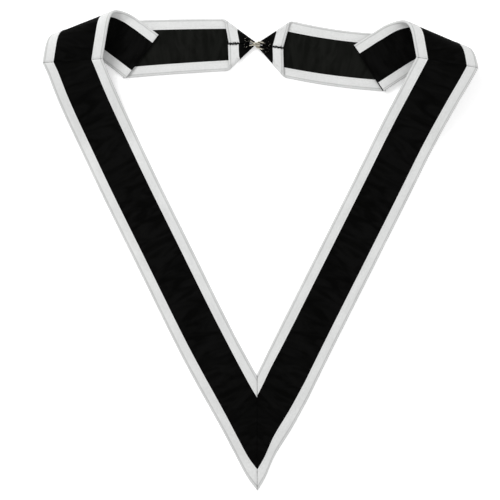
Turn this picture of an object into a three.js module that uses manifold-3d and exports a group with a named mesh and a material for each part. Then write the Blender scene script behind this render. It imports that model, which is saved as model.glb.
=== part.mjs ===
// A masonic collar, laid flat: a closed loop of black moire ribbon with white edging along both sides.
// Two lappets meet in a mitred point, a shoulder piece rolls over at the top of each, and two neck straps
// with folded corners are joined by a hook and eye.
// Lengths are in millimetres and angles in degrees. +Z is up off the surface, +Y from the point to the neck.

import * as THREE from 'three';
import { mergeVertices } from 'three/addons/utils/BufferGeometryUtils.js';
import Module from 'manifold-3d';

// The two sizes that drive the rest: the ribbon's whole width, and a lappet's length along its middle
const ribbonWidth = 63.5;
const lappetLength = 462;

// Cloth: the white edging's width, the walls and the gaps between pieces
const edgingWidth = 0.186 * ribbonWidth;
const edgingWall = 1.0;
const ribbonWall = 1.0;
const clothGap = 0.15;
const seamGap = 0.3;
const layerGap = 0.3;
const weld = 0.02;

// Lappets: the length over which they rise to the shoulder roll, and over which they ease into its seam
const liftLength = 0.27 * lappetLength;
const seamEase = 0.7 * ribbonWidth;

// Shoulders' rear ends: how far they cover the neck straps, and how they climb onto them
const neckCoverUpper = 0.36 * ribbonWidth;
const neckCoverLower = 0.05 * ribbonWidth;
const climbMargin = 0.22 * ribbonWidth;
const climbLength = 0.28 * ribbonWidth;
const climbGap = 0.3;
const rearCurl = 0.038 * ribbonWidth;
const runOut = 4 * ribbonWidth;

// Neck straps: where their tips are, above the shoulders' rear ends, and the gaps at the tips
const neckRise = 0.332 * ribbonWidth;
const tipGap = 0.8;
const tipStep = 0.058 * ribbonWidth;
const tipLength = 0.07 * ribbonWidth;
const flapGap = 0.8;

// Wire of the hook and eye, and how far below the straps' tips it is fastened
const wire = 1.5;
const fasteningDrop = 0.03 * ribbonWidth;
const wireGap = 0.3;
const ringRadius = 1.9;
const hookReach = 12.5;
const hookSpread = 3.2;
const hookNose = 2.2;
const billReach = 3.7;
const eyeReach = 11.5;
const eyeWidth = 8.4;
const eyeBar = 1.2;
const hookTilt = -12;

const clothThickness = 2 * edgingWall + ribbonWall + 2 * clothGap;
const flapBase = clothThickness + layerGap;

// What differs between the two halves as they lie. Leans, rises, folds and flaps are in degrees. The lappets'
// lengths are shares of lappetLength, tipSide is a share of tipStep, and the rest are shares of ribbonWidth.
const halfShares = [
  {
    name: 'left',
    turn: -1,
    lappetLength: 0.9978,
    lappetLean: 25.9,
    bow: 'leftBow',
    seamRise: 4.2,
    shoulderLean: 10.2,
    rollRise: 21.4,
    rollReach: 0.5984,
    rollDepth: 0.2362,
    rollHeight: 0.5039,
    rearLength: 0.7433,
    rearSlide: 0.052,
    tuck: 'leftTuck',
    neckOffset: 0.1496,
    neckBow: 0.0079,
    neckWidthAtTip: 0.923,
    neckWidthAtShoulder: 1.01,
    upperFold: 38.75,
    upperFlap: 82,
    lowerFold: 41,
    lowerFlap: 89.5,
    tipSide: 0.19,
    tipHidden: 0.0189,
  },
  {
    name: 'right',
    turn: 1,
    lappetLength: 1.0011,
    lappetLean: 26.5,
    bow: 'rightBow',
    seamRise: 9.9,
    shoulderLean: 11.2,
    rollRise: 23,
    rollReach: 0.4409,
    rollDepth: 0.2362,
    rollHeight: 0.5197,
    rearLength: 0.8661,
    rearSlide: 0.0441,
    tuck: 'rightTuck',
    neckOffset: 0.1402,
    neckBow: -0.0331,
    neckWidthAtTip: 1.008,
    neckWidthAtShoulder: 0.986,
    upperFold: 41.2,
    upperFlap: 82.4,
    lowerFold: 40.2,
    lowerFlap: 80.4,
    tipSide: -0.2,
    tipHidden: 0.0567,
  },
];
const inRibbonWidths = [
  'rollReach', 'rollDepth', 'rollHeight', 'rearLength', 'rearSlide', 'neckOffset', 'neckBow',
  'neckWidthAtTip', 'neckWidthAtShoulder', 'tipHidden',
];
const halves = halfShares.map((shares) => {
  const half = { ...shares };
  half.lappetLength = shares.lappetLength * lappetLength;
  half.tipSide = shares.tipSide * tipStep;
  for (const key of inRibbonWidths) half[key] = shares[key] * ribbonWidth;
  return half;
});

// How far the lappets' outer edges are pulled in near the point: where along the lappet, as a share of its
// length, and how far, as shares of the ribbon's width.
const tipTucks = [
  { along: -0.14, leftTuck: 0.11, rightTuck: 0.095 },
  { along: -0.08, leftTuck: 0.035, rightTuck: 0.065 },
  { along: -0.02, leftTuck: 0.015, rightTuck: 0.085 },
  { along: 0.06, leftTuck: 0.005, rightTuck: 0.03 },
  { along: 0.14, leftTuck: 0, rightTuck: 0 },
];

// How far the lappets curve outwards between the point and the shoulder seam, as shares of their length
const lappetBows = [
  { along: 0, leftBow: 0, rightBow: 0 },
  { along: 0.25, leftBow: 0.0103, rightBow: -0.002 },
  { along: 0.5, leftBow: 0.0122, rightBow: -0.0014 },
  { along: 0.7, leftBow: 0.0134, rightBow: -0.0012 },
  { along: 0.87, leftBow: 0.0098, rightBow: -0.0022 },
  { along: 1, leftBow: 0, rightBow: 0 },
];

const lappetSteps = 14;
const frontSteps = 5;
const rollSteps = 14;
const rearSteps = 5;
const neckSteps = 6;
const frontSamples = 12;
const turnSamples = 24;
const wireSides = 8;
const ringSides = 16;
const hookSteps = 72;
const eyeSteps = 36;

const black = { color: 0x0d0d0e, roughness: 0.55, metalness: 0 };
const white = { color: 0xe4e4e2, roughness: 0.8, metalness: 0 };
const steel = { color: 0xb9b7ac, roughness: 0.35, metalness: 1 };

const wasm = await Module();
wasm.setup();

const radians = THREE.MathUtils.degToRad;
const mix = THREE.MathUtils.lerp;
const sin = (degrees) => Math.sin(radians(degrees));
const cos = (degrees) => Math.cos(radians(degrees));
const tan = (degrees) => Math.tan(radians(degrees));

// A share from 0 to 1 with level ends
function ease(share) {
  const inside = THREE.MathUtils.clamp(share, 0, 1);
  return inside * inside * (3 - 2 * inside);
}

// A column of a table at a place along it
function look(table, column, along) {
  if (along <= table[0].along) return table[0][column];
  for (let i = 1; i < table.length; i += 1) {
    const here = table[i];
    const before = table[i - 1];
    if (along <= here.along) {
      const share = (along - before.along) / (here.along - before.along);
      return mix(before[column], here[column], share);
    }
  }
  return table.at(-1)[column];
}

function toSolid(geometry) {
  const bare = geometry.clone();
  bare.deleteAttribute('normal');
  bare.deleteAttribute('uv');
  const merged = mergeVertices(bare, 1e-4);
  return new wasm.Manifold(new wasm.Mesh({
    numProp: 3,
    vertProperties: new Float32Array(merged.attributes.position.array),
    triVerts: new Uint32Array(merged.index.array),
  }));
}

function toGeometry(solid) {
  const mesh = solid.getMesh();
  const geometry = new THREE.BufferGeometry();
  geometry.setAttribute('position', new THREE.BufferAttribute(new Float32Array(mesh.vertProperties), 3));
  geometry.setIndex(new THREE.BufferAttribute(new Uint32Array(mesh.triVerts), 1));
  return geometry;
}

function joined(geometries, trim = null) {
  const whole = geometries.map(toSolid).reduce((sum, solid) => sum.add(solid));
  const kept = trim ? whole.subtract(toSolid(trim)) : whole;
  return toGeometry(kept.asOriginal().simplify(weld));
}

// Turns a shape made for the right half into the left one, and keeps its faces pointing out
function mirrored(geometry, turn) {
  if (turn > 0) return geometry;
  const out = geometry.clone().scale(-1, 1, 1);
  const index = out.index.array;
  for (let i = 0; i < index.length; i += 3) [index[i + 1], index[i + 2]] = [index[i + 2], index[i + 1]];
  return out;
}

// Cross-sections of the cloth, as shares across the ribbon from its outer edge and heights off its middle
const halfThickness = clothThickness / 2;
const coreInset = (edgingWall + clothGap) / ribbonWidth;
const edgingShare = edgingWidth / ribbonWidth;
const wallShare = edgingWall / ribbonWidth;

const ribbonPlaces = [coreInset, edgingShare, 0.5, 1 - edgingShare, 1 - coreInset];
const ribbonSection = [
  ...ribbonPlaces.map((share) => [share, -ribbonWall / 2]),
  ...ribbonPlaces.toReversed().map((share) => [share, ribbonWall / 2]),
];

const outerEdgingSection = [
  [0, -halfThickness],
  [edgingShare, -halfThickness],
  [edgingShare, edgingWall - halfThickness],
  [wallShare, edgingWall - halfThickness],
  [wallShare, halfThickness - edgingWall],
  [edgingShare, halfThickness - edgingWall],
  [edgingShare, halfThickness],
  [0, halfThickness],
];

const innerEdgingSection = outerEdgingSection.map(([share, height]) => [1 - share, height]).reverse();

// A closed body through one cross-section at every station. Every face is split along the same slant, from
// its outer side at one station to its inner side at the next, so pieces that nest stay clear of each other.
function loft(stations, section) {
  const count = section.length;
  const positions = [];
  for (const { outer, inner, normal } of stations) {
    for (const [share, height] of section) {
      const point = outer.clone().lerp(inner, share).addScaledVector(normal, height);
      positions.push(point.x, point.y, point.z);
    }
  }
  const index = [];
  for (let s = 0; s + 1 < stations.length; s += 1) {
    for (let i = 0; i < count; i += 1) {
      const a = s * count + i;
      const b = s * count + (i + 1) % count;
      if (section[(i + 1) % count][0] >= section[i][0]) index.push(a, b, b + count, a, b + count, a + count);
      else index.push(a, b, a + count, b, b + count, a + count);
    }
  }
  const outline = section.map(([share, height]) => new THREE.Vector2(share * ribbonWidth, height));
  const last = (stations.length - 1) * count;
  for (const [a, b, c] of THREE.ShapeUtils.triangulateShape(outline, [])) {
    index.push(a, c, b, last + a, last + b, last + c);
  }
  const geometry = new THREE.BufferGeometry();
  geometry.setAttribute('position', new THREE.BufferAttribute(new Float32Array(positions), 3));
  geometry.setIndex(index);
  return geometry;
}

// Gives every station the normal of the cloth there, which is up where the ribbon's face is up
function withNormals(stations) {
  const middle = ({ outer, inner }) => outer.clone().lerp(inner, 0.5);
  return stations.map((station, i) => {
    const before = middle(stations[Math.max(i - 1, 0)]);
    const after = middle(stations[Math.min(i + 1, stations.length - 1)]);
    const across = station.inner.clone().sub(station.outer);
    const normal = after.sub(before).cross(across).normalize();
    return { ...station, normal };
  });
}

// The height of the cloth's middle at a distance in front of the roll
function liftedHeight(half, distance) {
  return mix(half.rollHeight, halfThickness, ease(distance / liftLength));
}

// The shoulder's profile square to the roll's axis: a path of points (n, z) with the length along it.
// n is 0 where the cloth reaches furthest, and the path starts in front and ends at the back.
function rollProfile(half, start) {
  const top = half.rollHeight;
  const low = halfThickness;
  const centre = (top + low) / 2;
  const rise = (top - low) / 2;
  const points = [];
  const frontEnd = -halfThickness - half.rollDepth;
  for (let i = 0; i < frontSamples; i += 1) {
    const n = mix(start, frontEnd, i / frontSamples);
    points.push([n, liftedHeight(half, frontEnd - n)]);
  }
  for (let i = 0; i <= turnSamples; i += 1) {
    const angle = 180 * i / turnSamples;
    const depth = angle < 90 ? half.rollDepth : Math.min(half.rollDepth, rise);
    points.push([-halfThickness - depth * (1 - sin(angle)), centre + rise * cos(angle)]);
  }
  const backEnd = points.at(-1)[0];
  points.push([backEnd - runOut, low]);
  let length = 0;
  return points.map(([n, z], i) => {
    if (i > 0) length += Math.hypot(n - points[i - 1][0], z - points[i - 1][1]);
    return { n, z, along: length };
  });
}

// A flat ribbon bent over the roll. Its two coordinates are the length along the ribbon and the place across.
function rollMap(half, seamCentre) {
  const lean = half.shoulderLean;
  const ribbonWay = [-sin(lean), cos(lean)];
  const acrossWay = [cos(lean), sin(lean)];
  const axis = [-cos(half.rollRise), sin(half.rollRise)];
  const out = [sin(half.rollRise), cos(half.rollRise)];
  const dot = (a, b) => a[0] * b[0] + a[1] * b[1];
  const profile = rollProfile(half, -half.rollReach - ribbonWidth);
  const front = profile.slice(0, frontSamples + 1).map(({ n, along }) => ({ along: n, length: along }));
  const seamAlong = look(front, 'length', -half.rollReach);
  const seamAxis = dot(seamCentre, axis);
  const seamOut = dot(seamCentre, out);
  const ridge = profile[frontSamples + turnSamples / 2].along;
  const backEnd = profile.at(-2).along;
  return {
    point(length, across) {
      const along = seamAlong + length * dot(ribbonWay, out) + across * dot(acrossWay, out);
      const slide = half.rearSlide * ease((along - ridge) / (backEnd - ridge));
      const m = seamAxis + length * dot(ribbonWay, axis) + across * dot(acrossWay, axis) + slide;
      const n = seamOut + half.rollReach + look(profile, 'n', along);
      const z = look(profile, 'z', along);
      return new THREE.Vector3(m * axis[0] + n * out[0], m * axis[1] + n * out[1], z);
    },
    // The length along the ribbon, at a place across, at which the profile's own length is reached
    reach(along, across) {
      return (along - seamAlong - across * dot(acrossWay, out)) / dot(ribbonWay, out);
    },
    frontEnd: profile.find(({ n }) => n >= -halfThickness - half.rollDepth - 1e-6).along,
    backEnd,
  };
}

function shoulderStations(half, seamCentre) {
  const map = rollMap(half, seamCentre);
  const side = ribbonWidth / 2;
  const skew = side * tan(half.shoulderLean + half.seamRise);
  const seam = { outer: -skew + seamGap, inner: skew + seamGap };
  const front = { outer: map.reach(map.frontEnd, side), inner: map.reach(map.frontEnd, -side) };
  const back = { outer: map.reach(map.backEnd, side), inner: map.reach(map.backEnd, -side) };
  const endLength = (back.outer + back.inner) / 2 + half.rearLength;
  const end = { outer: endLength, inner: endLength };
  const rulings = [];
  const span = (from, to, steps, includeLast) => {
    for (let i = 0; i < steps + (includeLast ? 1 : 0); i += 1) {
      rulings.push({
        outer: mix(from.outer, to.outer, i / steps),
        inner: mix(from.inner, to.inner, i / steps),
      });
    }
  };
  // Where the seam's outer end is already on the roll, the roll's stretch starts just past it
  const rollStart = { outer: Math.max(front.outer, seam.outer + seamGap), inner: front.inner };
  span(seam, rollStart, frontSteps, false);
  span(rollStart, back, rollSteps, false);
  span(back, end, rearSteps, true);
  const rearStart = frontSteps + rollSteps;
  const stations = rulings.map((ruling, i) => {
    const curl = rearCurl * ease((i - rearStart) / rearSteps + 0.5);
    const outer = map.point(ruling.outer, side - curl);
    const inner = map.point(ruling.inner, -side);
    outer.z += rearLift(endLength - ruling.outer);
    inner.z += rearLift(endLength - ruling.inner);
    return { outer, inner };
  });
  return withNormals(stations);
}

// How far the shoulder's rear stretch has climbed onto the neck strap, at a distance from its square end
function rearLift(toEnd) {
  const level = neckCoverUpper + climbMargin;
  return (flapBase + climbGap) * ease((level + climbLength - toEnd) / climbLength);
}

function lappetStations(half, seam) {
  const { lappetLength: whole, lappetLean: lean } = half;
  const way = new THREE.Vector3(sin(lean), cos(lean), 0);
  const outward = new THREE.Vector3(cos(lean), -sin(lean), 0);
  const origin = lappetOrigin(half);
  const side = ribbonWidth / 2;
  const skewAtPoint = side / tan(lean);
  const skewAtSeam = side * tan(lean - half.seamRise);
  const edge = (length, across) => {
    const share = length / whole;
    const bow = whole * look(lappetBows, half.bow, share);
    const tuck = across > 0 ? ribbonWidth * look(tipTucks, half.tuck, share) : 0;
    return origin.clone().addScaledVector(way, length).addScaledVector(outward, across + bow - tuck);
  };
  const frontOf = (point) => -halfThickness - half.rollDepth - rollDistance(half, point);
  const outerAhead = frontOf(seam.outer);
  const innerAhead = frontOf(seam.inner);
  const outerShift = planStep(edge(whole + skewAtSeam, side), seam.outer);
  const innerShift = planStep(edge(whole - skewAtSeam, -side), seam.inner);
  outerShift.addScaledVector(way, -seamGap);
  innerShift.addScaledVector(way, -seamGap);
  const stations = [];
  for (let i = 0; i <= lappetSteps; i += 1) {
    const share = i / lappetSteps;
    const outerLength = mix(-skewAtPoint, whole + skewAtSeam, share);
    const innerLength = mix(skewAtPoint, whole - skewAtSeam, share);
    const outer = edge(outerLength, side);
    const inner = edge(innerLength, -side);
    if (i === 0) {
      outer.addScaledVector(way, (seamGap / 2 - outer.x) / way.x);
      inner.addScaledVector(way, (seamGap / 2 - inner.x) / way.x);
    }
    const toSeamOuter = whole + skewAtSeam - outerLength;
    const toSeamInner = whole - skewAtSeam - innerLength;
    outer.addScaledVector(outerShift, seamPull(toSeamOuter));
    inner.addScaledVector(innerShift, seamPull(toSeamInner));
    outer.z = liftedHeight(half, toSeamOuter + outerAhead);
    inner.z = liftedHeight(half, toSeamInner + innerAhead);
    stations.push({ outer, inner });
  }
  return [...withNormals(stations).slice(0, -1), { ...stations.at(-1), normal: seam.normal }];
}

// Where a point in plan lies along the roll's outward way, from its furthest reach
function rollDistance(half, point) {
  const [x, y] = seamCentreOf(half);
  return (point.x - x) * sin(half.rollRise) + (point.y - y) * cos(half.rollRise) - half.rollReach;
}

// In plan, the step from one point to another
function planStep(from, to) {
  return new THREE.Vector3(to.x - from.x, to.y - from.y, 0);
}

// The share of the shoulder seam's offset that the lappet takes, at a distance from that seam
function seamPull(distance) {
  return 1 - ease(distance / seamEase);
}

// The middle of the lappet where it crosses the collar's centre line
function lappetOrigin(half) {
  return new THREE.Vector3(0, ribbonWidth / (2 * sin(half.lappetLean)), 0);
}

function seamCentreOf(half) {
  const origin = lappetOrigin(half);
  const lean = half.lappetLean;
  return [origin.x + half.lappetLength * sin(lean), origin.y + half.lappetLength * cos(lean)];
}

// A flat plate from an outline in plan
function plate(outline, low, high) {
  const shape = new THREE.Shape(outline.map(([x, y]) => new THREE.Vector2(x, y)));
  const geometry = new THREE.ExtrudeGeometry(shape, { depth: high - low, bevelEnabled: false });
  return geometry.translate(0, 0, low);
}

// The neck strap's own frame: u runs from the tip along the strap, w across it towards the upper edge
function neckFrame(half, tip, shoulderEnd) {
  const middle = shoulderEnd.outer.clone().lerp(shoulderEnd.inner, 0.5);
  const aim = Math.hypot(middle.x - tip.x, middle.y - tip.y);
  const dip = Math.atan2(tip.y - middle.y, middle.x - tip.x) - Math.asin(half.neckOffset / aim);
  const alongWay = [Math.cos(dip), -Math.sin(dip)];
  const upWay = [Math.sin(dip), Math.cos(dip)];
  const u = (point) => (point.x - tip.x) * alongWay[0] + (point.y - tip.y) * alongWay[1];
  return {
    upperEnd: u(shoulderEnd.inner) + neckCoverUpper,
    lowerEnd: u(shoulderEnd.outer) + neckCoverLower,
    place: ([along, across]) => [
      tip.x + along * alongWay[0] + across * upWay[0],
      tip.y + along * alongWay[1] + across * upWay[1],
    ],
  };
}

// One long side of a neck strap with its folded corner. sign is 1 for the upper side and -1 for the lower.
function neckSide(half, frame, sign) {
  const fold = sign > 0 ? half.upperFold : half.lowerFold;
  const flapTurn = sign > 0 ? half.upperFlap : half.lowerFlap;
  const flapLean = flapTurn - fold;
  const tipSide = half.neckWidthAtTip / 2;
  const endSide = half.neckWidthAtShoulder / 2;
  const corner = tipSide / tan(fold);
  const end = (across) => {
    const share = (sign * across + endSide) / (2 * endSide);
    const upShare = sign > 0 ? share : 1 - share;
    return mix(frame.lowerEnd, frame.upperEnd, upShare);
  };
  const onFold = (inset) => [(tipSide - inset) / tan(fold), sign * (tipSide - inset)];
  // The strap's edge from the fold to the hidden end, at a distance inside it
  const edge = (inset) => {
    const points = [onFold(inset)];
    for (let i = 1; i <= neckSteps; i += 1) {
      const share = i / neckSteps;
      const bow = half.neckBow * 4 * share * (1 - share);
      const across = sign * (mix(tipSide, endSide, share) - inset) + bow;
      points.push([mix(corner, end(sign * (endSide - inset)), share), across]);
    }
    return points;
  };
  // A point on the flap: at a distance inside its own edge, and along that edge from the fold
  const flapWay = [-cos(flapTurn), -sign * sin(flapTurn)];
  const flapStart = (inset) => onFold(inset * sin(fold) / sin(flapLean));
  const onFlap = (inset, length) => {
    const start = flapStart(inset);
    return [start[0] + flapWay[0] * length, start[1] + flapWay[1] * length];
  };
  const flapLength = (inset) => (Math.abs(flapStart(inset)[1]) - flapGap / 2) / sin(flapTurn);
  const foldInset = edgingWall + clothGap;
  // Straight in from the fold line, on the strap's side of it
  const inFrom = ([along, across], distance) => (
    [along + sin(fold) * distance, across - sign * cos(fold) * distance]
  );
  return { fold, flapLean, tipSide, sign, onFold, edge, onFlap, flapLength, foldInset, inFrom };
}

function neckEdging(side, place) {
  const flat = (outline, low, high) => plate(outline.map(place), low, high);
  const strip = (width) => [...side.edge(0), ...side.edge(width).reverse()];
  const flap = (width) => [
    side.onFold(0),
    side.onFlap(0, side.flapLength(0)),
    side.onFlap(width, side.flapLength(width)),
    side.onFlap(width, 0),
  ];
  const bridge = [
    side.onFold(0),
    side.onFold(edgingWidth),
    side.inFrom(side.onFold(edgingWidth), edgingWall),
    side.inFrom(side.onFold(0), edgingWall),
  ];
  const top = flapBase + clothThickness;
  return joined([
    flat(strip(edgingWidth), 0, edgingWall),
    flat(strip(edgingWidth), clothThickness - edgingWall, clothThickness),
    flat(strip(edgingWall), 0, clothThickness),
    flat(flap(edgingWidth), flapBase, flapBase + edgingWall),
    flat(flap(edgingWidth), top - edgingWall, top),
    flat(flap(edgingWall), flapBase, top),
    flat(bridge, 0, top),
  ]);
}

function neckRibbon(upper, lower, place) {
  const flat = (outline, low, high) => plate(outline.map(place), low, high);
  const low = edgingWall + clothGap;
  const high = low + ribbonWall;
  const inset = edgingWall + clothGap;
  const step = edgingWidth + edgingWall;
  const mainHalf = (side) => {
    const edge = side.edge(inset);
    const cutBack = side.foldInset / sin(side.fold);
    const onStep = side.onFold(step);
    return [
      onStep,
      [onStep[0] + cutBack, onStep[1]],
      [edge[0][0] + cutBack, edge[0][1]],
      ...edge.slice(1),
    ];
  };
  const flap = (side) => [
    side.onFlap(inset, side.foldInset / sin(side.flapLean)),
    side.onFlap(inset, side.flapLength(inset)),
    side.onFold(side.tipSide - flapGap / 2),
    side.onFold(step),
    side.onFlap(step, side.foldInset / sin(side.flapLean)),
  ];
  const bridge = (side) => [
    [0, 0],
    side.onFold(step),
    side.inFrom(side.onFold(step), ribbonWall),
    [ribbonWall / sin(side.fold), 0],
  ];
  const tipBase = (side) => [tipLength, side.sign * tipLength * tan(side.fold)];
  const parts = [
    flat([[0, 0], tipBase(upper), tipBase(lower)], low, flapBase + high),
    flat([[0, 0], ...mainHalf(upper), ...mainHalf(lower).reverse()], low, high),
    ...[upper, lower].flatMap((side) => [
      flat(flap(side), flapBase + low, flapBase + high),
      flat(bridge(side), low, flapBase + high),
    ]),
  ];
  return joined(parts, beyondCentre());
}

// What lies past the collar's centre line, where the very tips are turned in under the hook
function beyondCentre() {
  const reach = 20 * ribbonWidth;
  const block = new THREE.BoxGeometry(ribbonWidth, reach, 2 * ribbonWidth);
  return block.translate(tipGap / 2 - ribbonWidth / 2, reach / 2, 0);
}

// A round wire through a list of points
function wirePath(points, steps) {
  const section = new THREE.Shape();
  for (let i = 0; i < wireSides; i += 1) {
    const angle = 360 * i / wireSides;
    const x = cos(angle) * wire / 2;
    const y = sin(angle) * wire / 2;
    if (i === 0) section.moveTo(x, y);
    else section.lineTo(x, y);
  }
  const knots = points.map((point) => new THREE.Vector3(...point));
  const path = new THREE.CatmullRomCurve3(knots, false, 'centripetal');
  return new THREE.ExtrudeGeometry(section, { steps, extrudePath: path, bevelEnabled: false });
}

function wireRing(x, y, z) {
  return new THREE.TorusGeometry(ringRadius, wire / 2, wireSides, ringSides).translate(x, y, z);
}

const wireStep = wire + wireGap;
const wireSeat = flapBase + edgingWall + clothGap + ribbonWall + layerGap + wire / 2;

// The hook's wire in side view: where it is, its distance off the middle and its height in wire steps.
// The foot is measured in shares of the hook's reach and the bend in shares of its nose.
const hookFoot = [
  { back: 0.84, apart: 0.88 },
  { back: 0.55, apart: 0.6 },
  { back: 0.35, apart: 0.28 },
];
const hookBend = [
  { ahead: 0, rise: 0 },
  { ahead: 1, rise: 0.35 },
  { ahead: 1.37, rise: 1 },
  { ahead: 1, rise: 1.65 },
  { ahead: 0, rise: 2 },
  { ahead: -1.2, rise: 2.05 },
];

// One leg of the eye, from its ring to its bar, as shares of its reach, width and one wire step
const eyeLeg = [
  { along: 0.82, apart: 0.94, rise: 0 },
  { along: 0.55, apart: 1, rise: 0.4 },
  { along: 0.25, apart: 1, rise: 1 },
  { along: -0.03, apart: 0.8, rise: 1 },
];

// The hook lies to the left. Its wire runs to the right in a pair and turns up and back over the eye
function hookShape() {
  const pair = (wire + wireGap) / 2;
  const oneSide = (sign) => [
    ...hookFoot.map(({ back, apart }) => [-back * hookReach, sign * apart * hookSpread, wireSeat]),
    ...hookBend.map(({ ahead, rise }) => [ahead * hookNose, sign * pair, wireSeat + rise * wireStep]),
  ];
  const bill = [-billReach, 0, wireSeat + 2 * wireStep];
  return joined([
    wirePath([...oneSide(1), bill, ...oneSide(-1).reverse()], hookSteps),
    wireRing(-hookReach, hookSpread, wireSeat),
    wireRing(-hookReach, -hookSpread, wireSeat),
  ]);
}

// The eye lies to the right: a long loop whose closed end is held inside the hook's bend
function eyeShape() {
  const side = (eyeWidth - wire) / 2;
  const oneSide = (sign) => eyeLeg.map(({ along, apart, rise }) => (
    [along * eyeReach, sign * apart * side, wireSeat + rise * wireStep]
  ));
  const bar = [-eyeBar, 0, wireSeat + wireStep];
  return joined([
    wirePath([...oneSide(1), bar, ...oneSide(-1).reverse()], eyeSteps),
    wireRing(eyeReach, side, wireSeat),
    wireRing(eyeReach, -side, wireSeat),
  ]);
}

const collar = new THREE.Group();

function addPiece(name, geometry, finish, parent = collar) {
  const mesh = new THREE.Mesh(geometry, new THREE.MeshStandardMaterial(finish));
  mesh.name = name;
  parent.add(mesh);
}

function addLofted(part, half, stations) {
  const lofted = (section) => mirrored(loft(stations, section), half.turn);
  addPiece(`${part}_ribbon_${half.name}`, lofted(ribbonSection), black);
  addPiece(`${part}_outer_edging_${half.name}`, lofted(outerEdgingSection), white);
  addPiece(`${part}_inner_edging_${half.name}`, lofted(innerEdgingSection), white);
}

function addNeck(half, tip, shoulderEnd) {
  const frame = neckFrame(half, tip, shoulderEnd);
  const upper = neckSide(half, frame, 1);
  const lower = neckSide(half, frame, -1);
  const turned = (geometry) => mirrored(geometry, half.turn);
  addPiece(`neck_ribbon_${half.name}`, turned(neckRibbon(upper, lower, frame.place)), black);
  addPiece(`neck_upper_edging_${half.name}`, turned(neckEdging(upper, frame.place)), white);
  addPiece(`neck_lower_edging_${half.name}`, turned(neckEdging(lower, frame.place)), white);
}

const shoulders = halves.map((half) => shoulderStations(half, seamCentreOf(half)));
const shoulderEnds = shoulders.map((stations) => stations.at(-1));
const endHeights = shoulderEnds.map(({ outer, inner }) => (outer.y + inner.y) / 2);
const tipHeight = (endHeights[0] + endHeights[1]) / 2 + neckRise;

halves.forEach((half, i) => {
  addLofted('lappet', half, lappetStations(half, shoulders[i][0]));
  addLofted('shoulder', half, shoulders[i]);
  const tip = { x: tipGap / 2 - half.tipHidden, y: tipHeight + half.tipSide };
  addNeck(half, tip, shoulderEnds[i]);
});

const fastening = new THREE.Group();
fastening.position.set(0, tipHeight - fasteningDrop, 0);
fastening.rotation.z = radians(hookTilt);
addPiece('hook', hookShape(), steel, fastening);
addPiece('eye', eyeShape(), steel, fastening);
collar.add(fastening);

// The origin is the middle of the collar's box, on the surface that it lies on
collar.updateMatrixWorld(true);
const box = new THREE.Box3().setFromObject(collar, true);
collar.position.set(-(box.min.x + box.max.x) / 2, -(box.min.y + box.max.y) / 2, -box.min.z);

export default collar;
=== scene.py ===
# Dresses the masonic collar: ribbon, wrapped edging, stitches, hook and eye, with their materials, light and
# camera. Lengths are worked out in millimetres in the collar's own layout and become metres in the meshes.
# +Z is up off the surface and +Y runs from the mitred point to the back of the neck.

import math
import random

import bmesh
import bpy
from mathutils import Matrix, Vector


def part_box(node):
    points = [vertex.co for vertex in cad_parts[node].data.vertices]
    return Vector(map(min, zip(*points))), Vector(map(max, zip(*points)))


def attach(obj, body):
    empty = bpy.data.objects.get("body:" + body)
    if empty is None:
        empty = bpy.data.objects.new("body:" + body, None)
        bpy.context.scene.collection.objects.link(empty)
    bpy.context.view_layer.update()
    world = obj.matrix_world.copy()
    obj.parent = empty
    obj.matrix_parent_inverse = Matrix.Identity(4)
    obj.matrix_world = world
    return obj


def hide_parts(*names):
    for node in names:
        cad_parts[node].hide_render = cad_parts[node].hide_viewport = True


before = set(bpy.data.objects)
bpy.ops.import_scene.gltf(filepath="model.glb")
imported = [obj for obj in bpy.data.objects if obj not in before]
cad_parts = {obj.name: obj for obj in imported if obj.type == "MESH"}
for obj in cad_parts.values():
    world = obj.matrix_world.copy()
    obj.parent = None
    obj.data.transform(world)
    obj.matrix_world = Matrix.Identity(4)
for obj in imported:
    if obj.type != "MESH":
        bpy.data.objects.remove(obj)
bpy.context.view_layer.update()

# The two sizes that drive the rest: the ribbon's whole width, and a lappet's length along its middle
RIBBON_WIDTH = 63.5
LAPPET_LENGTH = 462.0

# Cloth: the edging, the walls, and the gaps at the seams, between solids and between sewn cloth
EDGING_WIDTH = 0.186 * RIBBON_WIDTH
CLOTH_THICKNESS = 3.3
HALF_THICKNESS = CLOTH_THICKNESS / 2
EDGING_WALL = 0.5
RIBBON_HALF = 1.1
EDGE_INSET = 1.15
SEAM_GAP = 0.3
SEWN_GAP = 0.04
LAYER_GAP = 0.3
FLAP_BASE = CLOTH_THICKNESS + LAYER_GAP

# Lappets: the length over which they rise to the roll, and over which they ease into its seam
LIFT_LENGTH = 0.27 * LAPPET_LENGTH
SEAM_EASE = 0.7 * RIBBON_WIDTH

# Shoulders' rear ends: how far they cover the neck straps, and how they climb onto them
NECK_COVER_UPPER = 0.36 * RIBBON_WIDTH
NECK_COVER_LOWER = 0.05 * RIBBON_WIDTH
CLIMB_MARGIN = 0.22 * RIBBON_WIDTH
CLIMB_LENGTH = 0.28 * RIBBON_WIDTH
REAR_CURL = 0.038 * RIBBON_WIDTH
RUN_OUT = 4 * RIBBON_WIDTH

# Neck straps: where their tips are, above the shoulders' rear ends, and the gaps at the tips
NECK_RISE = 0.332 * RIBBON_WIDTH
TIP_GAP = 0.8
TIP_STEP = 0.058 * RIBBON_WIDTH
FLAP_GAP = 1.5
BEND_RADIUS = FLAP_BASE / 2
BEND_INSET = BEND_RADIUS + HALF_THICKNESS

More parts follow.
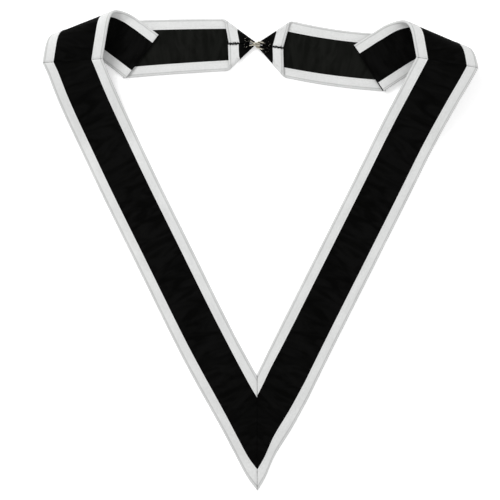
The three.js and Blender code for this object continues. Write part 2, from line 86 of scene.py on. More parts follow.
# Wire of the hook and eye, how far below the straps' tips it is fastened, and how high above the flaps' base
# the ribbon is that it lies on
WIRE = 1.5
FASTENING_DROP = 0.03 * RIBBON_WIDTH
FLAP_RIBBON_TOP = 2.15
WIRE_STEP = WIRE + LAYER_GAP
RING_RADIUS = 1.9
HOOK_REACH = 12.5
HOOK_SPREAD = 3.2
HOOK_NOSE = 2.2
BILL_REACH = 3.7
EYE_REACH = 11.5
EYE_WIDTH = 8.4
EYE_SIDE = (EYE_WIDTH - WIRE) / 2
EYE_BAR = 1.2
HOOK_TILT = -12
WIRE_SEAT = FLAP_BASE + FLAP_RIBBON_TOP + LAYER_GAP + WIRE / 2

# Grooves along the edgings, one under the stitches and one by the edge
STITCH_INSET = EDGING_WIDTH - 1.7
EDGE_LINE = HALF_THICKNESS + 0.7
GROOVE_DEPTH = 0.18
GROOVE_WIDTH = 0.6

# White stitches, and how far their middle and their ends are sunk into the cloth
STITCH_LENGTH = 2.3
STITCH_SPACING = 3.0
STITCH_RADIUS = 0.21
STITCH_SINK = GROOVE_DEPTH + 0.05
STITCH_DIP = 0.16

# How much of an edging's height its stitches take up where they pucker it most
PUCKER = 0.03

# Black threads: their radii, and how far the seams' threads are from the middle of the cloth
THREAD_RADIUS = 0.3
SEAM_THREAD_RADIUS = 0.2
SEAM_THREAD_HEIGHT = 0.78
RING_THREAD_RADIUS = 0.42
LEG_THREAD_RADIUS = 0.38

# What differs between the two halves as they lie. Leans, rises, folds and flaps are in degrees. The lappets'
# lengths are shares of LAPPET_LENGTH, tip_side is a share of TIP_STEP, the rest are shares of RIBBON_WIDTH.
HALF_COLUMNS = (
    "name", "turn", "lappet_length", "lappet_lean", "seam_rise", "shoulder_lean", "roll_rise", "roll_reach",
    "roll_depth", "roll_height", "rear_length", "rear_slide", "neck_offset", "neck_bow",
    "neck_width_at_tip", "neck_width_at_shoulder", "upper_fold", "upper_flap", "lower_fold", "lower_flap",
    "tip_side", "tip_hidden",
)
HALF_ROWS = (
    ("left", -1, 0.9978, 25.9, 4.2, 10.2, 21.4, 0.5984, 0.2362, 0.5039, 0.7433, 0.052, 0.1496, 0.0079, 0.923,
     1.01, 38.75, 82, 41, 89.5, 0.19, 0.0189),
    ("right", 1, 1.0011, 26.5, 9.9, 11.2, 23, 0.4409, 0.2362, 0.5197, 0.8661, 0.0441, 0.1402, -0.0331, 1.008,
     0.986, 41.2, 82.4, 40.2, 80.4, -0.2, 0.0567),
)
IN_RIBBON_WIDTHS = (
    "roll_reach", "roll_depth", "roll_height", "rear_length", "rear_slide", "neck_offset", "neck_bow",
    "neck_width_at_tip", "neck_width_at_shoulder", "tip_hidden",
)

# How far the lappets' outer edges are pulled in near the point: where along the lappet, as a share of its
# length, and how far on the left and right, as shares of the ribbon's width.
TIP_TUCKS = (
    (-0.14, 0.11, 0.095),
    (-0.08, 0.035, 0.065),
    (-0.02, 0.015, 0.085),
    (0.06, 0.005, 0.03),
    (0.14, 0, 0),
)

# How far the left and right lappets curve outwards on the way to the shoulder seam, as shares of their length
LAPPET_BOWS = (
    (0, 0, 0),
    (0.25, 0.0103, -0.002),
    (0.5, 0.0122, -0.0014),
    (0.7, 0.0134, -0.0012),
    (0.87, 0.0098, -0.0022),
    (1, 0, 0),
)

# How finely the cloth is divided, and how close its first and last stations are to its ends
STATION_STEP = 2.6
ROLL_STEPS = 60
FRONT_STEPS = 16
REAR_STEPS = 34
BEND_STEPS = 12
TURN_SAMPLES = 72
FRONT_SAMPLES = 48
END_STATIONS = (0, 0.35, 0.8, 1.4, 2.2)
SOLVE_STEPS = 12


# Maths of the layout


def sin(degrees):
    return math.sin(math.radians(degrees))


def cos(degrees):
    return math.cos(math.radians(degrees))


def tan(degrees):
    return math.tan(math.radians(degrees))


def mix(start, end, share):
    return start + (end - start) * share


def clamp(value, low=0.0, high=1.0):
    return max(low, min(high, value))


# A share from 0 to 1 with level ends
def ease(share):
    inside = clamp(share)
    return inside * inside * (3 - 2 * inside)


# A column of a sorted table at a place along it, in straight lines between the rows
def look(table, column, along):
    if along <= table[0][0]:
        return table[0][column]
    for before, here in zip(table, table[1:]):
        if along <= here[0]:
            return mix(before[column], here[column], (along - before[0]) / (here[0] - before[0]))
    return table[-1][column]


# The same, in a smooth curve through the rows
def look_smooth(table, column, along):
    places = [row[0] for row in table]
    values = [row[column] for row in table]
    if along <= places[0]:
        return values[0]
    if along >= places[-1]:
        return values[-1]
    i = max(k for k in range(len(places) - 1) if places[k] <= along)
    span = places[i + 1] - places[i]
    share = (along - places[i]) / span

    def slope(k):
        if k in (0, len(places) - 1):
            return 0 if k == 0 else (values[k] - values[k - 1]) / (places[k] - places[k - 1])
        return (values[k + 1] - values[k - 1]) / (places[k + 1] - places[k - 1])

    square, cube = share * share, share * share * share
    return (
        (2 * cube - 3 * square + 1) * values[i]
        + (cube - 2 * square + share) * span * slope(i)
        + (3 * square - 2 * cube) * values[i + 1]
        + (cube - square) * span * slope(i + 1)
    )


# The layout of one half, with its table row turned into millimetres
class Half:
    def __init__(self, row, tuck_column):
        shares = dict(zip(HALF_COLUMNS, row))
        for key, value in shares.items():
            setattr(self, key, value * RIBBON_WIDTH if key in IN_RIBBON_WIDTHS else value)
        self.lappet_length = shares["lappet_length"] * LAPPET_LENGTH
        self.tip_side = shares["tip_side"] * TIP_STEP
        self.column = tuck_column


HALVES = [Half(row, i + 1) for i, row in enumerate(HALF_ROWS)]


# The middle of the lappet where it crosses the collar's centre line
def lappet_origin(half):
    return Vector((0, RIBBON_WIDTH / (2 * sin(half.lappet_lean)), 0))


def seam_centre(half):
    way = Vector((sin(half.lappet_lean), cos(half.lappet_lean), 0))
    return lappet_origin(half) + way * half.lappet_length


# The height of the cloth's middle at a distance in front of the roll
def lifted_height(half, distance):
    return mix(half.roll_height, HALF_THICKNESS, ease(distance / LIFT_LENGTH))


# The shoulder's profile square to the roll's axis, as rows of length along it, n and z
def roll_profile(half, start):
    top, low = half.roll_height, HALF_THICKNESS
    centre, rise = (top + low) / 2, (top - low) / 2
    front_end = -HALF_THICKNESS - half.roll_depth
    points = []
    for i in range(FRONT_SAMPLES):
        n = mix(start, front_end, i / FRONT_SAMPLES)
        points.append((n, lifted_height(half, front_end - n)))
    for i in range(TURN_SAMPLES + 1):
        angle = 180 * i / TURN_SAMPLES
        depth = half.roll_depth if angle < 90 else min(half.roll_depth, rise)
        points.append((-HALF_THICKNESS - depth * (1 - sin(angle)), centre + rise * cos(angle)))
    points.append((points[-1][0] - RUN_OUT, low))
    rows, length = [], 0
    for i, (n, z) in enumerate(points):
        if i:
            length += math.hypot(n - points[i - 1][0], z - points[i - 1][1])
        rows.append((length, n, z))
    return rows


# A flat ribbon bent over the roll. Its two coordinates are the length along the ribbon and the place across.
class RollMap:
    def __init__(self, half):
        lean, rise = half.shoulder_lean, half.roll_rise
        self.half = half
        self.axis = Vector((-cos(rise), sin(rise)))
        self.out = Vector((sin(rise), cos(rise)))
        ribbon_way = Vector((-sin(lean), cos(lean)))
        across_way = Vector((cos(lean), sin(lean)))
        self.ribbon_out, self.ribbon_axis = ribbon_way.dot(self.out), ribbon_way.dot(self.axis)
        self.across_out, self.across_axis = across_way.dot(self.out), across_way.dot(self.axis)
        self.profile = roll_profile(half, -half.roll_reach - RIBBON_WIDTH)
        front = sorted((n, length) for length, n, _ in self.profile[: FRONT_SAMPLES + 1])
        self.seam_along = look(front, 1, -half.roll_reach)
        centre = seam_centre(half).xy
        self.seam_axis, self.seam_out = centre.dot(self.axis), centre.dot(self.out)
        self.ridge = self.profile[FRONT_SAMPLES + TURN_SAMPLES // 2][0]
        self.back_end = self.profile[-2][0]
        self.front_end = self.profile[FRONT_SAMPLES][0]

    def point(self, length, across):
        along = self.seam_along + length * self.ribbon_out + across * self.across_out
        slide = self.half.rear_slide * ease((along - self.ridge) / (self.back_end - self.ridge))
        m = self.seam_axis + length * self.ribbon_axis + across * self.across_axis + slide
        n = self.seam_out + self.half.roll_reach + look(self.profile, 1, along)
        plan = self.axis * m + self.out * n
        return Vector((plan.x, plan.y, look(self.profile, 2, along)))

    # The length along the ribbon, at a place across, at which the profile's own length is reached
    def reach(self, along, across):
        return (along - self.seam_along - across * self.across_out) / self.ribbon_out


# A station of the cloth: its outer and inner edge, both edges' places in the uncut ribbon, and a normal
class Station:
    def __init__(self, outer, inner, outer_cloth, inner_cloth, normal=None):
        self.outer = outer
        self.inner = inner
        self.outer_cloth = Vector(outer_cloth)
        self.inner_cloth = Vector(inner_cloth)
        self.normal = normal

    def at(self, share, height):
        return self.outer.lerp(self.inner, share) + self.normal * height

    def cloth(self, share):
        return self.outer_cloth.lerp(self.inner_cloth, share)


def with_normals(stations):
    for i, station in enumerate(stations):
        before = stations[max(i - 1, 0)]
        after = stations[min(i + 1, len(stations) - 1)]
        step = after.outer.lerp(after.inner, 0.5) - before.outer.lerp(before.inner, 0.5)
        station.normal = step.cross(station.inner - station.outer).normalized()
    return stations


# Shares from 0 to 1 at an even step, with a few more close to each end
def station_shares(length, step=STATION_STEP):
    near = [value / length for value in END_STATIONS]
    count = max(2, round((length - 2 * END_STATIONS[-1]) / step))
    between = [mix(near[-1], 1 - near[-1], i / count) for i in range(1, count)]
    return near + between + [1 - value for value in reversed(near)]


# How far the shoulder's rear stretch has climbed onto the neck strap, at a distance from its square end
def rear_lift(to_end):
    level = NECK_COVER_UPPER + CLIMB_MARGIN
    return (FLAP_BASE + LAYER_GAP) * ease((level + CLIMB_LENGTH - to_end) / CLIMB_LENGTH)


def shoulder_stations(half):
    roll = RollMap(half)
    side = RIBBON_WIDTH / 2
    skew = side * tan(half.shoulder_lean + half.seam_rise)
    seam = (-skew + SEWN_GAP, skew + SEWN_GAP)
    front, back = [(roll.reach(end, side), roll.reach(end, -side)) for end in (roll.front_end, roll.back_end)]
    end_length = sum(back) / 2 + half.rear_length
    roll_start = (max(front[0], seam[0] + SEAM_GAP), front[1])
    rulings = []

    def span(start, end, shares):
        for share in shares:
            rulings.append((mix(start[0], end[0], share), mix(start[1], end[1], share)))

    span(seam, roll_start, [0, 0.02, 0.05, *[i / FRONT_STEPS for i in range(1, FRONT_STEPS)]])
    span(roll_start, back, [i / ROLL_STEPS for i in range(ROLL_STEPS)])
    rear_start = len(rulings)
    near = [1 - value / half.rear_length for value in reversed(END_STATIONS)]
    span(back, (end_length, end_length), [*[i / REAR_STEPS * near[0] for i in range(REAR_STEPS)], *near])
    stations = []
    for i, (outer_length, inner_length) in enumerate(rulings):
        done = (i - rear_start) / (len(rulings) - 1 - rear_start)
        outer = roll.point(outer_length, side - REAR_CURL * ease(done + 0.5))
        inner = roll.point(inner_length, -side)
        outer.z += rear_lift(end_length - outer_length)
        inner.z += rear_lift(end_length - inner_length)
        stations.append(Station(outer, inner, (outer_length, 0), (inner_length, RIBBON_WIDTH)))
    return with_normals(stations)


def lappet_stations(half, seam):
    whole, lean = half.lappet_length, half.lappet_lean
    way = Vector((sin(lean), cos(lean), 0))
    outward = Vector((cos(lean), -sin(lean), 0))
    origin = lappet_origin(half)
    side = RIBBON_WIDTH / 2
    skew_at_point = side / tan(lean)
    skew_at_seam = side * tan(lean - half.seam_rise)

    def edge(length, across):
        share = length / whole
        bow = whole * look_smooth(LAPPET_BOWS, half.column, share)
        tuck = RIBBON_WIDTH * look_smooth(TIP_TUCKS, half.column, share) if across > 0 else 0
        return origin + way * length + outward * (across + bow - tuck)

    def ahead(point):
        out = Vector((sin(half.roll_rise), cos(half.roll_rise)))
        reached = (point - seam_centre(half)).xy.dot(out) - half.roll_reach
        return -HALF_THICKNESS - half.roll_depth - reached

    # The length along an edge at which it meets the seam on the collar's centre line
    def point_length(length, across):
        for _ in range(SOLVE_STEPS):
            length += (SEWN_GAP / 2 - edge(length, across).x) / way.x
        return length

    start = (point_length(-skew_at_point, side), point_length(skew_at_point, -side))
    end = (whole + skew_at_seam, whole - skew_at_seam)
    outer_ahead, inner_ahead = ahead(seam.outer), ahead(seam.inner)
    outer_shift = seam.outer - edge(end[0], side) - way * SEWN_GAP
    inner_shift = seam.inner - edge(end[1], -side) - way * SEWN_GAP
    outer_shift.z = inner_shift.z = 0
    stations = []
    for share in station_shares(whole):
        outer_length, inner_length = mix(start[0], end[0], share), mix(start[1], end[1], share)
        outer, inner = edge(outer_length, side), edge(inner_length, -side)
        to_outer, to_inner = end[0] - outer_length, end[1] - inner_length
        outer += outer_shift * (1 - ease(to_outer / SEAM_EASE))
        inner += inner_shift * (1 - ease(to_inner / SEAM_EASE))
        outer.z = lifted_height(half, to_outer + outer_ahead)
        inner.z = lifted_height(half, to_inner + inner_ahead)
        stations.append(Station(outer, inner, (outer_length, 0), (inner_length, RIBBON_WIDTH)))
    with_normals(stations)
    stations[-1].normal = seam.normal
    return stations


# A gentle waviness of the cloth that repeats nowhere: a few sine waves of different lengths
def wave(along, seed, lengths=(61.0, 37.0, 23.0)):
    total = sum(math.sin(2 * math.pi * along / length + seed * (k + 1.7)) for k, length in enumerate(lengths))
    return total / len(lengths)


# Lifts both edges a little off the surface where the cloth doesn't lie quite flat
def ripple(stations, seed, height, held=SEAM_EASE):
    first, last = stations[0], stations[-1]
    for station in stations:
        for edge, phase in (("outer", 1.3), ("inner", 4.1)):
            along = getattr(station, edge + "_cloth").x
            start = getattr(first, edge + "_cloth").x
            end = getattr(last, edge + "_cloth").x
            level = ease(min(along - start, end - along) / held)
            getattr(station, edge).z += height * (0.5 + 0.5 * wave(along, seed + phase)) * level


# The neck straps


# The strap's own frame: u runs from the tip along the strap, w across it towards the upper edge
class NeckFrame:
    def __init__(self, half, tip, shoulder_end):
        middle = shoulder_end.outer.lerp(shoulder_end.inner, 0.5)
        aim = (middle - tip).xy.length
        dip = math.atan2(tip.y - middle.y, middle.x - tip.x) - math.asin(half.neck_offset / aim)
        self.tip = tip
        self.along_way = Vector((math.cos(dip), -math.sin(dip), 0))
        self.up_way = Vector((math.sin(dip), math.cos(dip), 0))
        self.upper_end = self.u(shoulder_end.inner) + NECK_COVER_UPPER
        self.lower_end = self.u(shoulder_end.outer) + NECK_COVER_LOWER

    def u(self, point):
        return (point - self.tip).xy.dot(self.along_way.xy)

    def place(self, plan, z):
        point = self.tip + self.along_way * plan[0] + self.up_way * plan[1]
        return Vector((max(point.x, TIP_GAP / 2), point.y, z))

    def turn(self, way):
        return self.along_way * way[0] + self.up_way * way[1] + Vector((0, 0, way[2]))

    # A station across two plan points at one height, given their places in the uncut ribbon
    def station(self, outer, inner, z, outer_cloth, inner_cloth, normal=Vector((0, 0, 1))):
        return Station(self.place(outer, z), self.place(inner, z), outer_cloth, inner_cloth, normal)


# One long side of a neck strap with its folded corner. sign is 1 for the upper side and -1 for the lower.
class NeckSide:
    def __init__(self, half, neck, sign):
        self.half = half
        self.neck = neck
        self.sign = sign
        self.fold = half.upper_fold if sign > 0 else half.lower_fold
        flap_turn = half.upper_flap if sign > 0 else half.lower_flap
        self.flap_lean = flap_turn - self.fold
        self.tip_side = half.neck_width_at_tip / 2
        self.end_side = half.neck_width_at_shoulder / 2
        self.corner = Vector((self.tip_side / tan(self.fold), sign * self.tip_side))
        self.fold_way = Vector((-cos(self.fold), -sign * sin(self.fold)))
        self.inward = Vector((sin(self.fold), -sign * cos(self.fold)))
        self.flap_way = Vector((-cos(flap_turn), -sign * sin(flap_turn)))
        self.flap_inward = Vector((-sin(flap_turn), sign * cos(flap_turn)))

    # A plan point from its distances along the fold, from the corner, and inside the fold
    def off_fold(self, along_fold, inside):
        return self.corner + self.fold_way * along_fold + self.inward * inside

    def end(self, across):
        share = (across + self.end_side) / (2 * self.end_side)
        return mix(self.neck.lower_end, self.neck.upper_end, share)

    # The strap's edge from the bend at the corner to the hidden end, at a distance inside it
    def edge(self, inset, share):
        start = self.off_fold(self.along_fold(inset, 0), BEND_INSET)
        bow = self.half.neck_bow * 4 * share * (1 - share)
        full = mix(start.y * self.sign, self.end_side - inset, share)
        across = self.sign * full + bow
        return Vector((mix(start.x, self.end(self.sign * (self.end_side - inset)), share), across))

    # How far along the fold the line at a distance inside the edge is, part way round the bend
    def along_fold(self, inset, angle):
        crossing = mix(inset / sin(self.fold), inset / sin(self.flap_lean), angle / 180)
        if angle < 90:
            return crossing - BEND_INSET * (1 - angle / 90) / tan(self.fold)
        return crossing + BEND_INSET * (angle / 90 - 1) / tan(self.flap_lean)

    # How far along the fold the strap's centre line is, at a distance inside the fold
    def centre_along_fold(self, inside):
        return (self.tip_side - FLAP_GAP / 2 - cos(self.fold) * inside) / sin(self.fold)

    def bend(self, angle):
        inside = BEND_INSET - BEND_RADIUS * sin(angle)
        z = HALF_THICKNESS + BEND_RADIUS * (1 - cos(angle))
        way = self.inward * sin(angle)
        return inside, z, self.neck.turn((way.x, way.y, cos(angle)))

    # The flap's edge at a distance inside it, from the bend at 0 to the strap's centre line at 1
    def flap(self, inset, share):
        start = self.off_fold(self.along_fold(inset, 180), BEND_INSET)
        length = (abs(start.y) - FLAP_GAP / 2) / abs(self.flap_way.y)
        return start + self.flap_way * (length * share)

    # Where a plan point of the flap is in the uncut ribbon
    def flap_cloth(self, plan):
        offset = plan - self.corner
        return (self.corner.x - offset.dot(self.flap_way), offset.dot(self.flap_inward))

    def edging_stations(self):
        stations = []
        for share in reversed(station_shares(self.neck.lower_end - self.corner.x)):
            outer, inner = self.edge(0, share), self.edge(EDGING_WIDTH, share)
            stations.append(self.neck.station(
                outer, inner, HALF_THICKNESS, (outer.x, 0), (inner.x, EDGING_WIDTH),
            ))
        for i in range(1, BEND_STEPS):
            inside, z, normal = self.bend(180 * i / BEND_STEPS)
            outer = self.off_fold(self.along_fold(0, 180 * i / BEND_STEPS), inside)
            inner = self.off_fold(self.along_fold(EDGING_WIDTH, 180 * i / BEND_STEPS), inside)
            cloth_x = self.corner.x - i / 4
            stations.append(self.neck.station(
                outer, inner, z, (cloth_x, 0), (cloth_x + EDGING_WIDTH, EDGING_WIDTH), normal,
            ))
        for share in station_shares(self.tip_side):
            stations.append(self.flap_station(self.flap(0, share), self.flap(EDGING_WIDTH, share)))
        return stations

    # A station of the flap, which lies face down
    def flap_station(self, outer, inner, z=FLAP_BASE + HALF_THICKNESS, normal=Vector((0, 0, -1))):
        return self.neck.station(outer, inner, z, self.flap_cloth(outer), self.flap_cloth(inner), normal)

    # The black triangle of the folded corner with its bend
    def flap_stations(self):
        stations = []
        for i in range(BEND_STEPS + 1):
            angle = 180 * i / BEND_STEPS
            inside, z, normal = self.bend(angle)
            outer = self.off_fold(self.along_fold(EDGE_INSET, angle), inside)
            inner = self.off_fold(self.centre_along_fold(inside), inside)
            stations.append(self.flap_station(outer, inner, z, normal))
        pivot = self.off_fold(self.centre_along_fold(BEND_INSET), BEND_INSET)
        steps = 2 * BEND_STEPS
        for i in range(1, steps + 1):
            stations.append(self.flap_station(self.flap(EDGE_INSET, i / steps), pivot))
        return stations


# The strap between its hidden end and the two bends
def neck_stations(upper, lower):
    neck = upper.neck
    stations = []

    def add(high, low):
        stations.append(neck.station(high, low, HALF_THICKNESS, (high.x, 0), (low.x, RIBBON_WIDTH)))

    for i in range(1, BEND_STEPS):
        share = i / BEND_STEPS
        high, low = [
            side.off_fold(
                mix(side.centre_along_fold(BEND_INSET), side.along_fold(EDGE_INSET, 0), share), BEND_INSET
            )
            for side in (upper, lower)
        ]
        add(high, low)
    for share in station_shares(neck.lower_end - upper.corner.x):
        add(upper.edge(EDGE_INSET, share), lower.edge(EDGE_INSET, share))
    return stations


# Meshes

UNIT = 0.001
SHARP = math.radians(50)


# A growing set of points, faces and places in the cloth, which becomes one mesh
class Body:
    def __init__(self):
        self.points = []
        self.faces = []
        self.cloth = []

    # Closed rings of points, each row the same size, as a skin with flat ends
    def add_rings(self, rings, cloth=None):
        first, size = len(self.points), len(rings[0])
        for r, ring in enumerate(rings):
            self.points.extend(ring)
            self.cloth.extend(cloth[r] if cloth else [(0, 0, 0)] * size)
        for r in range(len(rings) - 1):
            for i in range(size):
                a = first + r * size + i
                b = first + r * size + (i + 1) % size
                self.faces.append((a, b, b + size, a + size))
        last = first + (len(rings) - 1) * size
        self.faces.append(tuple(first + i for i in reversed(range(size))))
        self.faces.append(tuple(last + i for i in range(size)))

    # A strip of cloth from cross-sections of (share across, height). Its heights shrink at the ends, where
    # cloth is turned in and sewn, and change a little along it where the stitches pucker it.
    def add_strip(self, stations, section, pinch=0.0, pucker=0.0, seed=0.0):
        rings, cloth = [], []
        first, last = stations[0], stations[-1]
        for station in stations:
            ring, places = [], []
            for share, height in section:
                place = station.cloth(share)
                to_end = min(
                    abs(place.x - first.cloth(share).x),
                    abs(place.x - last.cloth(share).x),
                )
                scale = 1 - pinch * (1 - ease(to_end / END_STATIONS[-1]))
                scale -= pucker * (0.5 + 0.5 * wave(place.x, seed + 2 * share, (7.3, 4.9, 11.9)))
                ring.append(station.at(share, height * scale))
                places.append((place.x, place.y, height))
            rings.append(ring)
            cloth.append(places)
        self.add_rings(rings, cloth)

    def add_tube(self, path, radius, sides=8, taper=False):
        rings = []
        side = None
        for i, point in enumerate(path):
            way = (path[min(i + 1, len(path) - 1)] - path[max(i - 1, 0)]).normalized()
            if side is None:
                side = way.orthogonal().normalized()
            side = (side - way * side.dot(way)).normalized()
            other = way.cross(side)
            end = taper and i in (0, len(path) - 1)
            size = radius * (0.35 if end else 1)
            rings.append([
                point + (side * cos(360 * k / sides) + other * sin(360 * k / sides)) * size
                for k in range(sides)
            ])
        self.add_rings(rings)

    # The finished piece. Turned over for the left half, and with a second finish on the cloth's lower face.
    def piece(self, name, turn, finishes):
        points = [Vector((turn * p.x, p.y, p.z)) for p in self.points]
        mesh = bpy.data.meshes.new(name)
        mesh.from_pydata([(point + SHIFT) * UNIT for point in points], [], self.faces)
        layer = mesh.uv_layers.new(name="cloth")
        for loop in mesh.loops:
            along, across, _ = self.cloth[loop.vertex_index]
            layer.data[loop.index].uv = (along * UNIT, across * UNIT)
        for finish in finishes:
            mesh.materials.append(finish)
        for polygon in mesh.polygons:
            height = sum(self.cloth[v][2] for v in polygon.vertices)
            polygon.material_index = 1 if height < 0 and len(finishes) > 1 else 0
            polygon.use_smooth = True
        face_outwards(mesh)
        mesh.set_sharp_from_angle(angle=SHARP)
        piece = bpy.data.objects.new(name, mesh)
        bpy.context.scene.collection.objects.link(piece)
        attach(piece, "root")
        return piece


def face_outwards(mesh):
    shape = bmesh.new()
    shape.from_mesh(mesh)
    bmesh.ops.recalc_face_normals(shape, faces=shape.faces)
    shape.to_mesh(mesh)
    shape.free()


# The ribbon between its edgings, as shares across from one inset edge to the other
def ribbon_section(start, across=20):
    places = [mix(start, 1 - start, i / across) for i in range(across + 1)]
    return [(p, -RIBBON_HALF) for p in places] + [(p, RIBBON_HALF) for p in reversed(places)]


# The edging, wrapped round the ribbon's edge: along the bottom, round the edge and back along the top, and
# the same way inside. Two shallow grooves sink the outer face.
def edging_section(whole, along=16, turn=8):
    def face(sign):
        rows = []
        for i in range(along + 1):
            place = mix(EDGING_WIDTH, HALF_THICKNESS, i / along)
            off_grooves = [(place - inset) / GROOVE_WIDTH for inset in (STITCH_INSET, EDGE_LINE)]
            depth = GROOVE_DEPTH * sum(math.exp(-(off ** 2)) for off in off_grooves)
            rows.append((place, sign * (HALF_THICKNESS - depth)))
        return rows

    def bend(radius, start, end):
        angles = [mix(start, end, i / turn) for i in range(1, turn)]
        return [(HALF_THICKNESS - radius * sin(angle), -radius * cos(angle)) for angle in angles]

    within = HALF_THICKNESS - EDGING_WALL
    outside = face(-1) + bend(HALF_THICKNESS, 0, 180) + face(1)[::-1]
    inside = [
        (EDGING_WIDTH, within), (HALF_THICKNESS, within), *bend(within, 180, 0),
        (HALF_THICKNESS, -within), (EDGING_WIDTH, -within),
    ]
    return [(distance / whole, height) for distance, height in outside + inside]


def far_side(section):
    return [(1 - share, height) for share, height in reversed(section)]


# Evenly spaced places along a line, each with its direction
def walk(line, spacing, start=0.0):
    wanted, done, found = start, 0.0, []
    for before, here in zip(line, line[1:]):
        length = (here - before).length
        while length > 0 and wanted <= done + length:
            found.append((before.lerp(here, (wanted - done) / length), (here - before) / length))
            wanted += spacing
        done += length
    return found


# Stitches on both faces of an edging, along its inner side
def add_stitches(body, stations, share):
    for sign in (-1, 1):
        line = [station.at(share, sign * (HALF_THICKNESS - STITCH_SINK)) for station in stations]
        ups = [station.normal * sign for station in stations]
        for point, way in walk(line, STITCH_SPACING, STITCH_SPACING / 2)[:-1]:
            nearest = min(range(len(line)), key=lambda k: (line[k] - point).length_squared)
            sunk = ups[nearest] * -STITCH_DIP
            half = way * (STITCH_LENGTH / 2)
            path = [point - half + sunk, point - half * 0.55, point + half * 0.55, point + half + sunk]
            body.add_tube(path, STITCH_RADIUS, 5, True)


# The hook and eye

# Where the hook's wire is: the foot in shares of its reach and spread, and the bend in shares of its nose and
# of one wire step. The eye's leg is in shares of its reach, its width and one wire step.
HOOK_FOOT = ((0.84, 0.88), (0.55, 0.6), (0.35, 0.28))
HOOK_BEND = ((0, 0), (1, 0.35), (1.37, 1), (1, 1.65), (0, 2), (-1.2, 2.05))
EYE_LEG = ((0.82, 0.94, 0), (0.55, 1, 0.4), (0.25, 1, 1), (-0.03, 0.8, 1))


# A smooth path through a few points
def smooth_path(knots, steps):
    ends = [knots[0] * 2 - knots[1], *knots, knots[-1] * 2 - knots[-2]]
    path = []
    for i in range(len(knots) - 1):
        a, b, c, d = ends[i:i + 4]
        for k in range(steps):
            t = k / steps
            path.append(0.5 * (
                2 * b + (c - a) * t + (2 * a - 5 * b + 4 * c - d) * t * t + (3 * b - a - 3 * c + d) * t ** 3
            ))
    return [*path, knots[-1]]


# A wire bent into a closed ring
def add_ring(body, centre, radius, thickness, steps=28, sides=10):
    first = len(body.points)
    total = steps * sides
    for i in range(steps):
        out = Vector((cos(360 * i / steps), sin(360 * i / steps), 0))
        for k in range(sides):
            angle = 360 * k / sides
            up = Vector((0, 0, sin(angle) * thickness))
            body.points.append(centre + out * (radius + cos(angle) * thickness) + up)
            body.cloth.append((0, 0, 0))
    for i in range(steps):
        for k in range(sides):
            a, b = i * sides + k, i * sides + (k + 1) % sides
            corners = (a, b, (b + sides) % total, (a + sides) % total)
            body.faces.append(tuple(first + corner for corner in corners))


